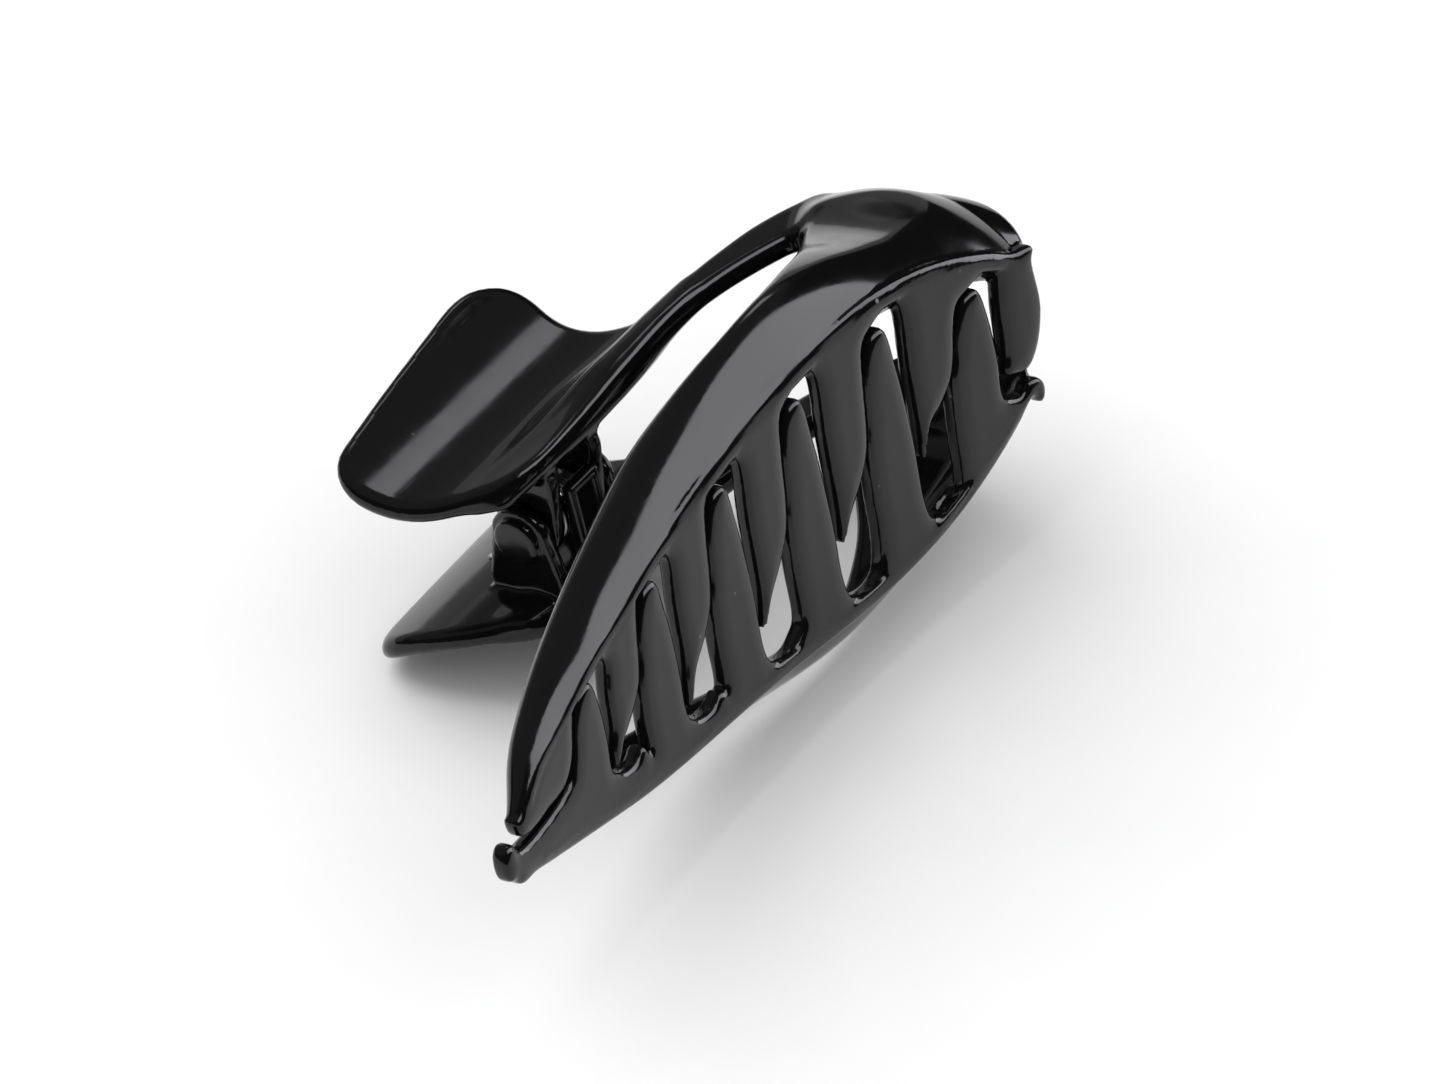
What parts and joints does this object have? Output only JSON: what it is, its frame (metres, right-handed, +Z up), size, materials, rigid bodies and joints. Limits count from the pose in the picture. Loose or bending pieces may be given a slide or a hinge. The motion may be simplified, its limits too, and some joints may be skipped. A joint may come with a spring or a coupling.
{
  "type": "sectioning clip",
  "caption": "Large claw clip for sectioning hair: curved jaws with interlocking fingers turn on a pin, closed by a torsion spring and opened by thumb paddles.",
  "frame": {"origin": "middle of the underside of the clip's bounding box, on the surface it lies on", "axes": "+X along the hinge pin towards the tall blunt end of the jaws, -Y from the hinge towards the mouth, +Z up, with the clip lying closed on its lower jaw"},
  "size_m": [0.1146, 0.0572, 0.0455],
  "materials": {
    "jaw_plastic": "high gloss moulded",
    "pin_steel": "bright drawn wire",
    "spring_steel": "bright spring wire"
  },
  "bodies": {
    "lower_body": {"jaw_lower": "jaw_plastic", "hinge_pin": "pin_steel", "spring_coil": "spring_steel", "spring_leg_lower": "spring_steel"},
    "upper_body": {"jaw_upper": "jaw_plastic", "spring_leg_upper": "spring_steel"}
  },
  "joints": [
    {"name": "jaw_hinge", "type": "hinge", "parent": "lower_body", "child": "upper_body", "pos_m": [0.00275, 0.00636, 0.01815], "axis": [-1, 0, 0], "range_deg": [0, 44], "stiffness_Nm_per_rad": 0.15, "springref_deg": -57.3, "deforming": ["spring_coil"]}
  ]
}
